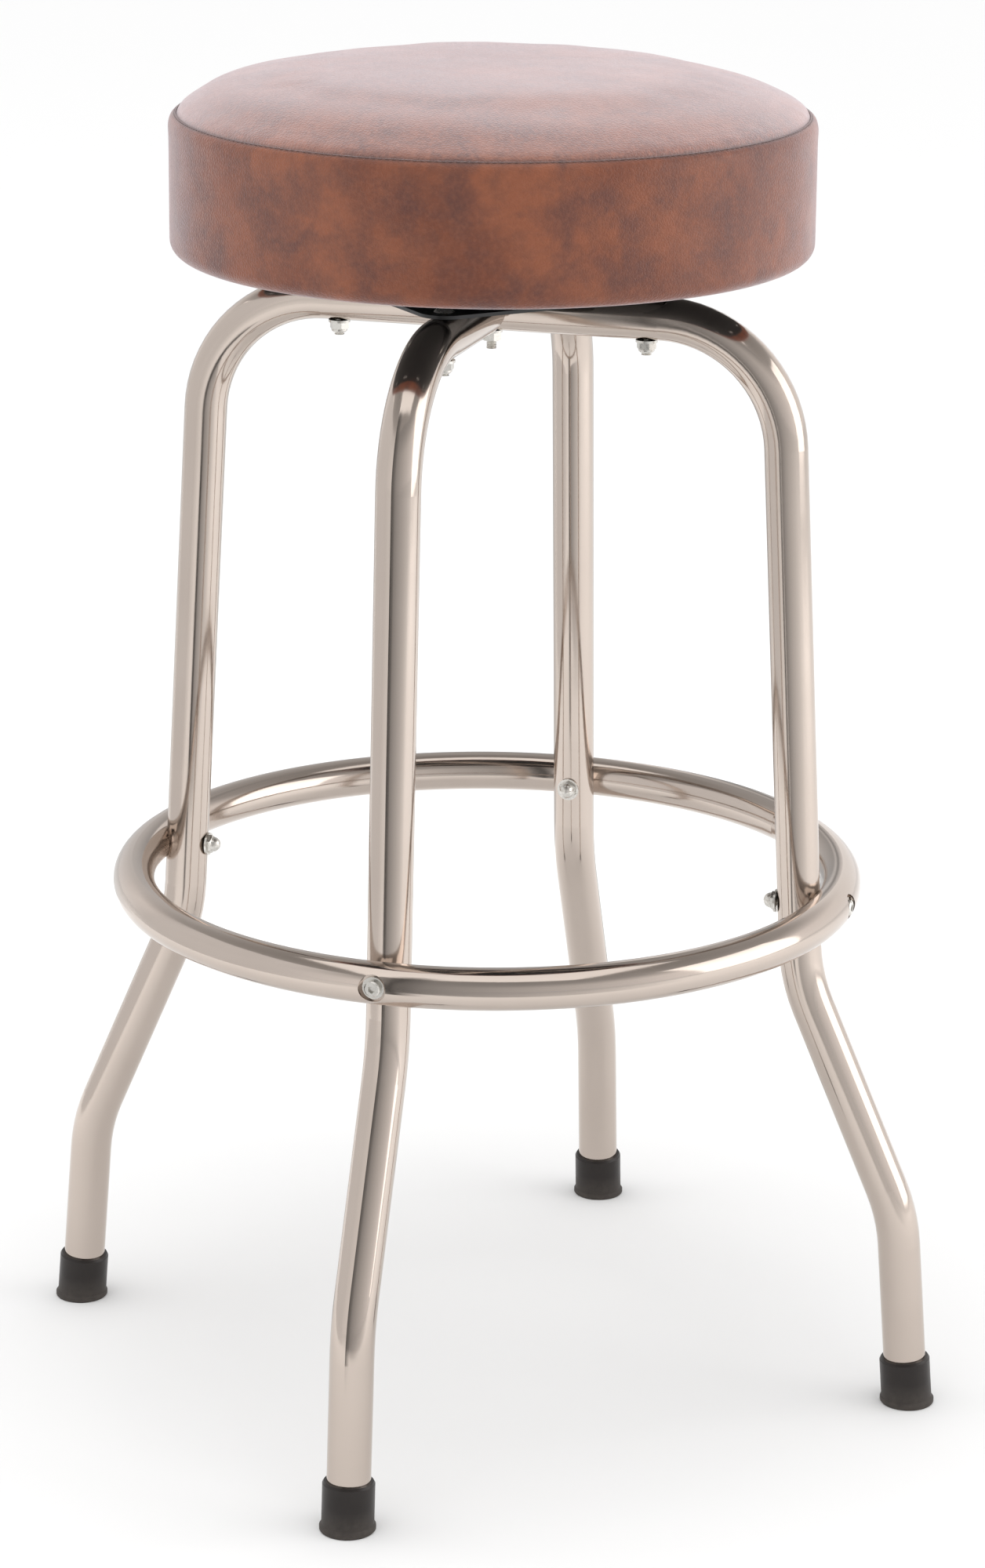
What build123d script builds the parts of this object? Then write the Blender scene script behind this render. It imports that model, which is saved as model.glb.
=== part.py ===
from build123d import *
import math
import os

# Bar stool with a round padded swivel seat, four bent tube legs and a tubular foot ring.
# Millimetres, +Z up. The origin is on the floor, midway between the four feet.
# The legs stand on the axes: right leg +X, back leg +Y, left leg -X, front leg -Y.

os.makedirs("parts", exist_ok=True)

# ---------------------------------------------------------------- driving dimensions

# leg tubes
TUBE_R = 12.7
TUBE_WALL = 1.2
RAIL_Z = 652.5  # centreline of both rails under the seat
RAIL_CORNER_R = 172.9  # where a leg's line meets the rail's line
RAIL_BEND = 75.0
KNEE_HIGH = (194.2, 263.6)  # radius and height of the upper knee
KNEE_LOW = (257.4, 119.2)  # radius and height of the lower knee
KNEE_BEND = 110.0
FOOT_R = 267.0  # where a leg's line meets the floor

# the dent where the two rails cross
DENT_HALF_LENGTH = 14.0
DENT_RISE = 16.0

# rubber foot tips
TIP_SOLE = 4.0
TIP_R = 15.1
TIP_HEIGHT = 29.0
TIP_BASE_R = 16.2
TIP_BASE_HEIGHT = 5.0

# foot ring
RING_R = 211.8
RING_Z = 309.0
RING_TUBE_R = 12.1
RING_WALL = 1.2
SADDLE_PLAY = 0.05
DIMPLE_R = 8.0
DIMPLE_DEPTH = 4.5

# M6 fasteners
BOLT_R = 3.0
HOLE_R = 3.25
THREAD_PLAY = 0.02
THREAD_PITCH = 1.0
THREAD_DEPTH = 0.35
HEX_FLATS = 10.0
HEX_CHAMFER = 1.1
SOCKET_HEAD_R = 4.6
SOCKET_HEAD_HEIGHT = 2.9
SOCKET_FLATS = 4.0
SOCKET_DEPTH = 1.7
PAN_HEAD_R = 6.0
PAN_HEAD_HEIGHT = 3.3
WASHER_R = 6.4
WASHER_THICK = 1.4
LOCK_NUT_HEX = 4.2
LOCK_NUT_HEIGHT = 6.0
PLAIN_NUT_HEIGHT = 5.0
FLANGE_R = 6.9
FLANGE_THICK = 1.3
CAP_NUT_LENGTH = 8.2
CAP_NUT_R = 4.6

# swivel
PLATE_SIDE = 160.0
PLATE_CORNER = 16.0
PLATE_THICK = 2.0
PLATE_BOLT_R = 93.0  # from the axis to each corner bolt
SWIVEL_HEIGHT = 21.2
DISH_OUTER_R = 66.0
DISH_INNER_R = 60.0
RACE_R = 45.0
RACE_GAP = 3.2  # between the two dished plates
BALL_R = 3.0
BALL_PLAY = 0.3
BALL_COUNT = 18
CAGE_HALF_WIDTH = 5.6
CAGE_THICK = 1.2
CAGE_PLAY = 0.15
COLLAR_R = 20.0
COLLAR_LIP_R = 26.0
SWIVEL_PLAY = 0.3

# seat
SEAT_R = 185.7
SEAT_BOTTOM_Z = 685.8
SEAM_R = 182.0
SEAM_Z = 766.6
SHOULDER = 12.0  # how far below the seam the side band reaches its full radius
CROWN = 25.0
CROWN_POWER = 5.0
SKIN = 1.2
EDGE_R = 8.5
BAND_TURN_IN_R = 150.0
BOARD_THICK = 12.0
FOAM_PLAY = 0.1
DUST_COVER_R = 170.0
DUST_COVER_THICK = 0.6
TEE_NUT_R = 9.5
TEE_NUT_FLANGE = 1.2
TEE_NUT_BARREL_R = 3.9
TEE_NUT_LENGTH = 9.0
SEAT_SCREW_LENGTH = 14.0
STAPLE_COUNT = 20
STAPLE_RING_R = 163.0
STAPLE_WIDTH = 10.0
STAPLE_WIRE = 1.0
STAPLE_LEG = 7.0

# ---------------------------------------------------------------- values that follow

RAIL_TOP = RAIL_Z + TUBE_R
RAIL_UNDERSIDE = RAIL_Z - TUBE_R
SWIVEL_TOP = RAIL_TOP + SWIVEL_HEIGHT
RACE_Z = RAIL_TOP + SWIVEL_HEIGHT / 2
BOARD_Z = SEAT_BOTTOM_Z + SKIN
BOARD_TOP = BOARD_Z + BOARD_THICK
RING_FACE_R = RING_R + RING_TUBE_R - DIMPLE_DEPTH
QUARTERS = (0, 90, 180, 270)

LEG_LINE_LOW = Vector(KNEE_HIGH[0], 0, KNEE_HIGH[1])
LEG_LINE_HIGH = Vector(RAIL_CORNER_R, 0, RAIL_Z)
LEG_LINE = LEG_LINE_HIGH - LEG_LINE_LOW
FLOOR_POINT = Vector(FOOT_R, 0, 0)
FOOT_LINE = (Vector(KNEE_LOW[0], 0, KNEE_LOW[1]) - FLOOR_POINT).normalized()


# ---------------------------------------------------------------- helpers


def save(node, shape):
    """Write one sub-part to its own STEP file."""
    export_step(shape, f"parts/{node}.step")


def upright(radius, z_low, z_high, x=0.0):
    """A cylinder standing on z_low and ending at z_high."""
    height = z_high - z_low
    return Pos(x, 0, (z_low + z_high) / 2) * Cylinder(radius, height)


def radial(radius, r_near, r_far, z):
    """A cylinder along +X between two distances from the axis."""
    middle = (r_near + r_far) / 2
    return Pos(middle, 0, z) * Rot(0, 90, 0) * Cylinder(radius, r_far - r_near)


def around(shape):
    """The same shape on all four legs, as separate solids."""
    return [Rot(0, 0, angle) * shape for angle in QUARTERS]


def group(shapes):
    """Separate solids that share one node."""
    return Compound(children=shapes)


def turned(points):
    """A solid of revolution about Z from (radius, height) corners."""
    return spun(Polyline(*[(r, 0, z) for r, z in points], close=True))


def spun(*curves):
    """A solid of revolution about Z from curves that close one outline in the XZ plane."""
    edges = [edge for curve in curves for edge in curve.edges()]
    return revolve(make_face(Wire(edges)), Axis.Z, 360)


# ---------------------------------------------------------------- fasteners, along +Z


def hexagon(flats, height):
    """A hexagonal prism on z = 0 whose outer end has its corners turned off."""
    corner_r = flats / math.sqrt(3)
    prism = extrude(RegularPolygon(corner_r, 6), height)
    shoulder = height - HEX_CHAMFER * 0.6
    flat_r = corner_r - HEX_CHAMFER
    cap = turned([(0, 0), (corner_r, 0), (corner_r, shoulder), (flat_r, height), (0, height)])
    return prism & cap


def threaded_end(length, tip):
    """A shank from z = 0 to -length whose last stretch, tip long, has thread grooves."""
    turns = int(tip / THREAD_PITCH)
    points = [(0, 0), (BOLT_R, 0)]
    z = -(length - tip)
    for _ in range(turns):
        points.append((BOLT_R, z))
        points.append((BOLT_R - THREAD_DEPTH, z - THREAD_PITCH / 2))
        z -= THREAD_PITCH
    points += [(BOLT_R, z), (BOLT_R - 0.6, -length), (0, -length)]
    return turned(points)


def washer():
    """A flat washer from z = 0 up."""
    return upright(WASHER_R, 0, WASHER_THICK) - upright(HOLE_R, 0, WASHER_THICK)


def bore(nut, length):
    """The threaded hole through a nut, just clear of the bolt."""
    return nut - upright(BOLT_R + THREAD_PLAY, 0, length)


def lock_nut():
    """A nylon-insert nut from z = 0 up: a hexagon and a rounded collar."""
    collar_r = HEX_FLATS / 2 - 0.3
    top = LOCK_NUT_HEIGHT
    rounding = 0.9
    outline = [(0, 0), (collar_r, 0), (collar_r, top - rounding), (collar_r - rounding, top), (0, top)]
    collar = turned(outline)
    return bore(hexagon(HEX_FLATS, LOCK_NUT_HEX) + collar, LOCK_NUT_HEIGHT)


def plain_nut():
    """A hexagon nut from z = 0 up."""
    return bore(hexagon(HEX_FLATS, PLAIN_NUT_HEIGHT), PLAIN_NUT_HEIGHT)


def cap_nut():
    """A flanged cap nut from z = 0 up, closed and domed at its far end."""
    flange = upright(FLANGE_R, 0, FLANGE_THICK)
    straight = CAP_NUT_LENGTH - CAP_NUT_R
    body = upright(CAP_NUT_R, 0, straight)
    dome = Pos(0, 0, straight) * Sphere(CAP_NUT_R)
    dome = dome & upright(CAP_NUT_R, straight, CAP_NUT_LENGTH)
    hexagonal = hexagon(HEX_FLATS, straight)
    depth = CAP_NUT_LENGTH - 2.0
    return flange + body + dome + hexagonal - upright(BOLT_R + THREAD_PLAY, 0, depth)


def socket_bolt(length, tip):
    """A bolt with a low round head on z = 0 with a hexagon socket, and its shank down."""
    top = SOCKET_HEAD_HEIGHT
    edge = 0.7
    rim = [(SOCKET_HEAD_R, 0), (SOCKET_HEAD_R, top - edge), (SOCKET_HEAD_R - edge, top)]
    head = turned([(0, 0), *rim, (0, top)])
    socket = extrude(RegularPolygon(SOCKET_FLATS / math.sqrt(3), 6), SOCKET_DEPTH)
    return head - Pos(0, 0, top - SOCKET_DEPTH) * socket + threaded_end(length, tip)


def pan_bolt(length, tip):
    """A bolt with a low domed head on z = 0 with a cross recess, and its shank down."""
    dome_r = (PAN_HEAD_R**2 + PAN_HEAD_HEIGHT**2) / (2 * PAN_HEAD_HEIGHT)
    head = Pos(0, 0, PAN_HEAD_HEIGHT - dome_r) * Sphere(dome_r)
    head = head & upright(PAN_HEAD_R, 0, PAN_HEAD_HEIGHT)
    slot = Pos(0, 0, PAN_HEAD_HEIGHT - 0.5) * Box(5.0, 1.2, 2.6)
    cross = slot + Rot(0, 0, 90) * slot
    return head - cross + threaded_end(length, tip)


# ---------------------------------------------------------------- leg frames


def frame_path():
    """One leg, over the rail and down the opposite leg, in the XZ plane."""
    end = FLOOR_POINT + FOOT_LINE * TIP_SOLE
    half = [(end.X, end.Z), KNEE_LOW, KNEE_HIGH, (RAIL_CORNER_R, RAIL_Z)]
    points = [(x, 0, z) for x, z in half]
    points += [(-x, 0, z) for x, z in reversed(half)]
    bends = [KNEE_BEND, KNEE_BEND, RAIL_BEND, RAIL_BEND, KNEE_BEND, KNEE_BEND]
    return FilletPolyline(*points, radius=bends)


def dent(offset):
    """A sloped-sided block over the middle of the rail, grown on all sides by offset."""
    low = RAIL_Z - offset
    near = DENT_HALF_LENGTH + offset * (math.sqrt(2) - 1)
    far = near + DENT_RISE + offset
    high = low + DENT_RISE + offset
    outline = Polyline((-near, 0, low), (near, 0, low), (far, 0, high), (-far, 0, high), close=True)
    return extrude(make_face(outline), 2 * TUBE_R, dir=(0, 1, 0), both=True)


def leg_frame(dent_turn):
    """A bent tube dented at mid-rail; dent_turn 0 dents the top, 180 the underside."""
    path = frame_path()
    start = Plane(origin=path @ 0, z_dir=path % 0)
    turn = Pos(0, 0, RAIL_Z) * Rot(dent_turn, 0, 0) * Pos(0, 0, -RAIL_Z)
    outside = sweep(start * Circle(TUBE_R), path) - turn * dent(0)
    inside = sweep(start * Circle(TUBE_R - TUBE_WALL), path) - turn * dent(TUBE_WALL)
    tube = outside - inside
    tube -= upright(HOLE_R, RAIL_UNDERSIDE - 1, RAIL_TOP + 1)
    for side in (-1, 1):
        tube -= upright(HOLE_R, RAIL_UNDERSIDE - 1, RAIL_TOP + 1, x=side * PLATE_BOLT_R)
        ring_hole = radial(HOLE_R, RING_R - 45, RING_R, RING_Z)
        tube -= Rot(0, 0, 0 if side > 0 else 180) * ring_hole
    return tube


def foot_tip():
    """A rubber cap on the end of the right leg, cut flat by the floor."""
    lean = Plane(origin=FLOOR_POINT, z_dir=FOOT_LINE)
    below = 8.0
    cap = turned(
        [
            (0, -below),
            (TIP_R, -below),
            (TIP_R, TIP_HEIGHT - 1.5),
            (TIP_R - 0.9, TIP_HEIGHT),
            (TUBE_R, TIP_HEIGHT),
            (TUBE_R, TIP_SOLE),
            (0, TIP_SOLE),
        ]
    )
    base = turned(
        [
            (0, 0),
            (TIP_BASE_R - 0.6, 0),
            (TIP_BASE_R, 0.8),
            (TIP_BASE_R, 2.6),
            (TIP_R - 0.8, TIP_BASE_HEIGHT),
            (0, TIP_BASE_HEIGHT),
        ]
    )
    socket = lean.location * upright(TUBE_R, TIP_SOLE, TIP_HEIGHT)
    floor = Pos(FOOT_R, 0, -10) * Box(60, 60, 20)
    return lean.location * cap - floor + (Pos(FOOT_R, 0, 0) * base - socket)


# ---------------------------------------------------------------- foot ring


def leg_cylinder(radius):
    """The straight stretch of the right leg beside the ring, as a plain cylinder."""
    line = Plane(origin=LEG_LINE_LOW + LEG_LINE * 0.12, z_dir=LEG_LINE)
    return line.location * Cylinder(radius, 110)


def quarter_hoop(tube_r):
    """A quarter of a hoop, centred on the right leg, with its seam line along the top."""
    section = Plane(origin=(RING_R, 0, RING_Z), x_dir=(0, 0, 1), z_dir=(0, -1, 0))
    return Rot(0, 0, -45) * revolve(section * Circle(tube_r), Axis.Z, 90)


def quarter_ring():
    """A quarter of the ring: dented where the leg nests, dimpled so deep that the bolt head lies inside its outline."""
    saddle = leg_cylinder(TUBE_R + SADDLE_PLAY)
    saddle_wall = leg_cylinder(TUBE_R + SADDLE_PLAY + RING_WALL)
    dimple = radial(DIMPLE_R, RING_FACE_R, RING_FACE_R + 10, RING_Z)
    dimple_wall = radial(DIMPLE_R + RING_WALL, RING_FACE_R - RING_WALL, RING_FACE_R + 10, RING_Z)
    outside = quarter_hoop(RING_TUBE_R) - saddle - dimple
    inside = quarter_hoop(RING_TUBE_R - RING_WALL) - saddle_wall - dimple_wall
    return outside - inside - radial(HOLE_R, RING_R - 30, RING_R + 30, RING_Z)


def foot_ring():
    """The whole ring, joined from four like quarters."""
    first, *others = around(quarter_ring())
    for quarter in others:
        first += quarter
    return first


def ring_fasteners():
    """The bolt, washer and cap nut that hold the ring to the right leg."""
    leg_r = LEG_LINE_LOW.X + LEG_LINE.X * (RING_Z - LEG_LINE_LOW.Z) / LEG_LINE.Z
    slope = abs(LEG_LINE.X) / LEG_LINE.Z
    nut_face = leg_r - TUBE_R / math.cos(math.atan(slope)) - FLANGE_R * slope
    outward = Pos(RING_FACE_R, 0, RING_Z) * Rot(0, 90, 0)
    inward = Pos(nut_face, 0, RING_Z) * Rot(0, -90, 0)
    grip = RING_FACE_R + WASHER_THICK - nut_face
    bolt = Pos(WASHER_THICK, 0, 0) * outward * socket_bolt(grip + 5.0, 8.0)
    return bolt, outward * washer(), inward * cap_nut()


# ---------------------------------------------------------------- swivel


def plate_outline():
    """A square with rounded corners, its corners on the axes."""
    return Rot(0, 0, 45) * RectangleRounded(PLATE_SIDE, PLATE_SIDE, PLATE_CORNER)


def groove_points(radius, level):
    """Half-width at the plate's face of a round groove centred in the race."""
    return math.sqrt(radius**2 - level**2)


def dished_plate(hole_r):
    """A plate with z = 0 in the middle of the race: flat corners below, dished middle above."""
    face = -RACE_GAP / 2
    back = face - PLATE_THICK
    flat = -SWIVEL_HEIGHT / 2
    groove = BALL_R + BALL_PLAY
    bump = groove + PLATE_THICK
    near = groove_points(groove, -face)
    far = groove_points(bump, -back)
    dish = spun(
        Line((hole_r, 0, face), (RACE_R - near, 0, face)),
        ThreePointArc((RACE_R - near, 0, face), (RACE_R, 0, -groove), (RACE_R + near, 0, face)),
        Polyline(
            (RACE_R + near, 0, face),
            (DISH_INNER_R, 0, face),
            (DISH_OUTER_R, 0, flat + PLATE_THICK),
            (DISH_OUTER_R + 2, 0, flat + PLATE_THICK),
            (DISH_OUTER_R + 2, 0, flat),
            (DISH_OUTER_R - 1, 0, flat),
            (DISH_INNER_R - 1, 0, back),
            (RACE_R + far, 0, back),
        ),
        ThreePointArc((RACE_R + far, 0, back), (RACE_R, 0, -bump), (RACE_R - far, 0, back)),
        Line((RACE_R - far, 0, back), (hole_r, 0, back)),
        Line((hole_r, 0, back), (hole_r, 0, face)),
    )
    sheet = Pos(0, 0, flat) * extrude(plate_outline(), PLATE_THICK)
    sheet -= upright(DISH_OUTER_R + 2, flat, flat + PLATE_THICK)
    for angle in QUARTERS:
        sheet -= Rot(0, 0, angle) * upright(HOLE_R, flat, flat + PLATE_THICK, x=PLATE_BOLT_R)
    return sheet + dish


def swivel_base_plate():
    """The fixed plate, bolted down to the rails."""
    return Pos(0, 0, RACE_Z) * dished_plate(COLLAR_R + SWIVEL_PLAY)


def swivel_top_plate():
    """The turning plate, with the collar that runs through the base plate and is rolled over."""
    plate = Rot(180, 0, 0) * dished_plate(COLLAR_R - PLATE_THICK)
    top = RACE_GAP / 2 + PLATE_THICK
    lip_top = -RACE_GAP / 2 - PLATE_THICK - SWIVEL_PLAY
    lip_bottom = lip_top - PLATE_THICK
    inner = COLLAR_R - PLATE_THICK
    collar = turned(
        [
            (inner, top),
            (inner, lip_bottom + 1.0),
            (inner + 1.0, lip_bottom),
            (COLLAR_LIP_R, lip_bottom),
            (COLLAR_LIP_R, lip_top),
            (COLLAR_R, lip_top),
            (COLLAR_R, top),
        ]
    )
    return Pos(0, 0, RACE_Z) * Rot(0, 0, 45) * (plate + collar)


def ball_cage():
    """A flat ring with one pocket for each ball."""
    z_low = RACE_Z - CAGE_THICK / 2
    z_high = RACE_Z + CAGE_THICK / 2
    cage = upright(RACE_R + CAGE_HALF_WIDTH, z_low, z_high)
    cage -= upright(RACE_R - CAGE_HALF_WIDTH, z_low, z_high)
    pocket = upright(BALL_R + CAGE_PLAY, z_low, z_high, x=RACE_R)
    for index in range(BALL_COUNT):
        cage -= Rot(0, 0, 360 / BALL_COUNT * index) * pocket
    return cage


def bearing_balls():
    """The balls, evenly spaced round the race."""
    ball = Pos(RACE_R, 0, RACE_Z) * Sphere(BALL_R)
    return group([Rot(0, 0, 360 / BALL_COUNT * index) * ball for index in range(BALL_COUNT)])


def plate_fasteners():
    """A bolt from above, and the washer and lock nut below the right rail."""
    place = Pos(PLATE_BOLT_R, 0, 0)
    bolt_z = RAIL_TOP + PLATE_THICK
    nut_z = RAIL_UNDERSIDE - WASHER_THICK
    below = LOCK_NUT_HEIGHT + 1.4
    bolt = place * Pos(0, 0, bolt_z) * pan_bolt(bolt_z - nut_z + below, 9.0)
    down = place * Pos(0, 0, RAIL_UNDERSIDE) * Rot(180, 0, 0)
    nut = place * Pos(0, 0, nut_z) * Rot(180, 0, 0) * lock_nut()
    return bolt, down * washer(), nut


def cross_fasteners():
    """The bolt, washer and nut that clamp the two rails where they cross."""
    nut_z = RAIL_UNDERSIDE - WASHER_THICK
    end_z = RAIL_UNDERSIDE - 11.0
    bolt = Pos(0, 0, RAIL_TOP) * pan_bolt(RAIL_TOP - end_z, 11.0)
    down = Pos(0, 0, RAIL_UNDERSIDE) * Rot(180, 0, 0)
    nut = Pos(0, 0, nut_z) * Rot(180, 0, 0) * plain_nut()
    return bolt, down * washer(), nut


# ---------------------------------------------------------------- seat


def seat_screw_places():
    """The four screw positions, under the corners of the top plate."""
    return [Rot(0, 0, 45 + angle) * Pos(PLATE_BOLT_R, 0, 0) for angle in QUARTERS]


def staple_places():
    """The staples, evenly spaced round the underside."""
    step = 360 / STAPLE_COUNT
    return [Rot(0, 0, step * (index + 0.5)) * Pos(STAPLE_RING_R, 0, 0) for index in range(STAPLE_COUNT)]


def staple(crown_z):
    """One staple: a wire crown below crown_z and two legs up into the board."""
    crown = Pos(0, 0, crown_z - STAPLE_WIRE / 2) * Box(STAPLE_WIRE, STAPLE_WIDTH, STAPLE_WIRE)
    leg = Box(STAPLE_WIRE, STAPLE_WIRE, STAPLE_LEG)
    offset = (STAPLE_WIDTH - STAPLE_WIRE) / 2
    for side in (-1, 1):
        crown += Pos(0, side * offset, crown_z + STAPLE_LEG / 2) * leg
    return crown


def without_fixings(shape, screw_r):
    """Cut the seat screw holes and the staple slots out of a layer of the seat."""
    for place in seat_screw_places():
        shape -= place * upright(screw_r, SEAT_BOTTOM_Z - 5, BOARD_TOP)
    cut = staple(SEAT_BOTTOM_Z - DUST_COVER_THICK)
    for place in staple_places():
        shape -= place * cut
    return shape


def side_curve(inset):
    """The side from the seam, over the shoulder, down to where the bottom edge begins to round."""
    seam = (SEAM_R - inset, 0, SEAM_Z - inset)
    shoulder = (SEAT_R - inset, 0, SEAM_Z - SHOULDER)
    foot = (SEAT_R - inset, 0, SEAT_BOTTOM_Z + EDGE_R)
    roll = TangentArc(shoulder, seam, tangent=(0, 0, 1))
    return [roll, Line(shoulder, foot)]


def bottom_curve(inset):
    """The rounded bottom edge and the turned-in strip under the board."""
    foot = (SEAT_R - inset, 0, SEAT_BOTTOM_Z + EDGE_R)
    under = (SEAT_R - EDGE_R, 0, SEAT_BOTTOM_Z + inset)
    end = (BAND_TURN_IN_R, 0, SEAT_BOTTOM_Z + inset)
    return [TangentArc(foot, under, tangent=(0, 0, -1)), Line(under, end)]


def crown_curve(inset):
    """The domed top from the axis out to the seam."""
    radius = SEAM_R - inset
    base = SEAM_Z - inset
    steps = 8
    fractions = [index / steps for index in range(steps)] + [0.95, 1.0]
    points = [(radius * f, 0, base + CROWN * (1 - f**CROWN_POWER)) for f in fractions]
    slope = -CROWN * CROWN_POWER / radius
    return Spline(*points, tangents=[(1, 0, 0), (1, 0, slope)])


def seat_board():
    """The plywood disc with a bevelled bottom edge and recesses for the tee nuts."""
    rim = SEAT_R - SKIN - FOAM_PLAY
    board = turned(
        [
            (0, BOARD_Z),
            (SEAT_R - EDGE_R, BOARD_Z),
            (rim, SEAT_BOTTOM_Z + EDGE_R),
            (rim, BOARD_TOP),
            (0, BOARD_TOP),
        ]
    )
    for place in seat_screw_places():
        board -= place * upright(TEE_NUT_R, BOARD_TOP - TEE_NUT_FLANGE, BOARD_TOP)
    return without_fixings(board, TEE_NUT_BARREL_R)


def foam_pad():
    """The foam block, which fills the cover down to the board."""
    inset = SKIN + FOAM_PLAY
    crown = crown_curve(inset)
    roll, wall = side_curve(inset)
    wall = Line(wall @ 0, (SEAT_R - inset, 0, BOARD_TOP))
    floor = Polyline(wall @ 1, (0, 0, BOARD_TOP), crown @ 0)
    return spun(crown, roll, wall, floor)


def seat_cover_top():
    """The domed top panel, sewn to the side band along its rim."""
    outer = crown_curve(0)
    inner = crown_curve(SKIN)
    return spun(outer, Line(outer @ 1, inner @ 1), inner, Line(inner @ 0, outer @ 0))


def seat_cover_band():
    """The side band, rolled in to the seam above and turned in under the board below."""
    outer = side_curve(0) + bottom_curve(0)
    inner = side_curve(SKIN) + bottom_curve(SKIN)
    seam = Line(outer[0] @ 1, inner[0] @ 1)
    hem = Line(outer[-1] @ 1, inner[-1] @ 1)
    return without_fixings(spun(*outer, *inner, seam, hem), HOLE_R)


def dust_cover():
    """The black cloth disc under the board, lapped over the band's turned-in edge."""
    low = SEAT_BOTTOM_Z - DUST_COVER_THICK
    high = BOARD_Z - DUST_COVER_THICK
    cover = turned(
        [
            (0, high),
            (BAND_TURN_IN_R - 4, high),
            (BAND_TURN_IN_R - 1, low),
            (DUST_COVER_R, low),
            (DUST_COVER_R, SEAT_BOTTOM_Z),
            (BAND_TURN_IN_R - 0.2, SEAT_BOTTOM_Z),
            (BAND_TURN_IN_R - 3, BOARD_Z),
            (0, BOARD_Z),
        ]
    )
    return without_fixings(cover, HOLE_R)


def seat_screw():
    """A screw from below, its head against the top plate."""
    screw = pan_bolt(SEAT_SCREW_LENGTH, 9.0)
    return Pos(0, 0, SWIVEL_TOP - PLATE_THICK) * Rot(180, 0, 0) * screw


def tee_nut():
    """A tee nut flush with the top of the board."""
    flange = upright(TEE_NUT_R, BOARD_TOP - TEE_NUT_FLANGE, BOARD_TOP)
    barrel = upright(TEE_NUT_BARREL_R, BOARD_TOP - TEE_NUT_LENGTH, BOARD_TOP)
    return flange + barrel - upright(BOLT_R + THREAD_PLAY, BOARD_TOP - TEE_NUT_LENGTH, BOARD_TOP)


# ---------------------------------------------------------------- write every node

save("side_leg_frame", leg_frame(0))
save("front_back_leg_frame", Rot(0, 0, 90) * leg_frame(180))

tip = foot_tip()
for name, angle in zip(("right", "back", "left", "front"), QUARTERS):
    save(f"{name}_foot_tip", Rot(0, 0, angle) * tip)

save("foot_ring", foot_ring())
for name, piece in zip(("bolts", "washers", "cap_nuts"), ring_fasteners()):
    save(f"ring_{name}", group(around(piece)))

save("swivel_base_plate", swivel_base_plate())
for name, piece in zip(("bolts", "washers", "lock_nuts"), plate_fasteners()):
    save(f"plate_{name}", group(around(piece)))

for name, piece in zip(("bolt", "washer", "nut"), cross_fasteners()):
    save(f"cross_{name}", piece)

save("ball_cage", ball_cage())
save("bearing_balls", bearing_balls())

save("swivel_top_plate", swivel_top_plate())
save("seat_screws", group([place * seat_screw() for place in seat_screw_places()]))
save("tee_nuts", group([place * tee_nut() for place in seat_screw_places()]))
save("seat_board", seat_board())
save("foam_pad", foam_pad())
save("seat_cover_top", seat_cover_top())
save("seat_cover_band", seat_cover_band())
save("dust_cover", dust_cover())
staple_z = SEAT_BOTTOM_Z - DUST_COVER_THICK
save("staples", group([place * staple(staple_z) for place in staple_places()]))
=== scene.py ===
"""Looks of the bar stool with footrest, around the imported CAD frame.

Metres, +Z up, with the frame's own origin. The cover, foam, thread and dust cover are made here. Metal,
rubber and wood are the frame's own nodes, which get their materials here.
"""

import math

import bpy
import numpy as np
from mathutils import Matrix, Vector, noise


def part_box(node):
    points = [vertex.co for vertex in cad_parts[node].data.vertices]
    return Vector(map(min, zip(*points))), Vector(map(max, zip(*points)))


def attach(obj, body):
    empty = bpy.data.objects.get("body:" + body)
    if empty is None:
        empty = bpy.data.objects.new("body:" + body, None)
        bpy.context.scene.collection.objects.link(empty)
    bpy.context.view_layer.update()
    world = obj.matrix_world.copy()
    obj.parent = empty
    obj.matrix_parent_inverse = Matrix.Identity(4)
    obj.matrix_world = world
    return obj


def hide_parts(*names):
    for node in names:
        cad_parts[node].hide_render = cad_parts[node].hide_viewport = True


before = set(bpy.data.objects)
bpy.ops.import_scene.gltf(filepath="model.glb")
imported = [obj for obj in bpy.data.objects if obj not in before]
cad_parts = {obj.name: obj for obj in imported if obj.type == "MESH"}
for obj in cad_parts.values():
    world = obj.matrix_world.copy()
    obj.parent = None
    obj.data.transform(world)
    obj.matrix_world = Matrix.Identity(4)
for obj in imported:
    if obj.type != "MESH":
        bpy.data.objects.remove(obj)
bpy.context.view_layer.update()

MM = 0.001
WHOLE_TURN = 2 * math.pi

# ---------------------------------------------------------------- sizes taken from the frame

top_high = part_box("seat_cover_top")[1]
band_low, band_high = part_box("seat_cover_band")
foam_low, foam_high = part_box("foam_pad")
cloth_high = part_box("dust_cover")[1]
staple_low, staple_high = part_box("staples")

SEAM_R = top_high.x
SEAM_Z = band_high.z
CROWN = top_high.z - SEAM_Z
SEAT_R = band_high.x
SEAT_BOTTOM = band_low.z
STAPLE_R = (staple_high.x - staple_low.x) / 2

# ---------------------------------------------------------------- sizes chosen here

SKIN = 1.2 * MM  # thickness of the leatherette
SHOULDER = 12 * MM  # height over which the band rolls in to the seam
EDGE_R = 8.5 * MM  # of the band's bottom edge
TURN_IN_R = 150 * MM  # where the band ends under the board
CROWN_POWER = 5  # how flat the dome is in the middle
EVEN_FULLNESS = 1.8 * MM
SIDE_FULLNESS = 2.6 * MM
FULL_SIDE = math.radians(197)  # the side of the seat that is padded fullest

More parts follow.
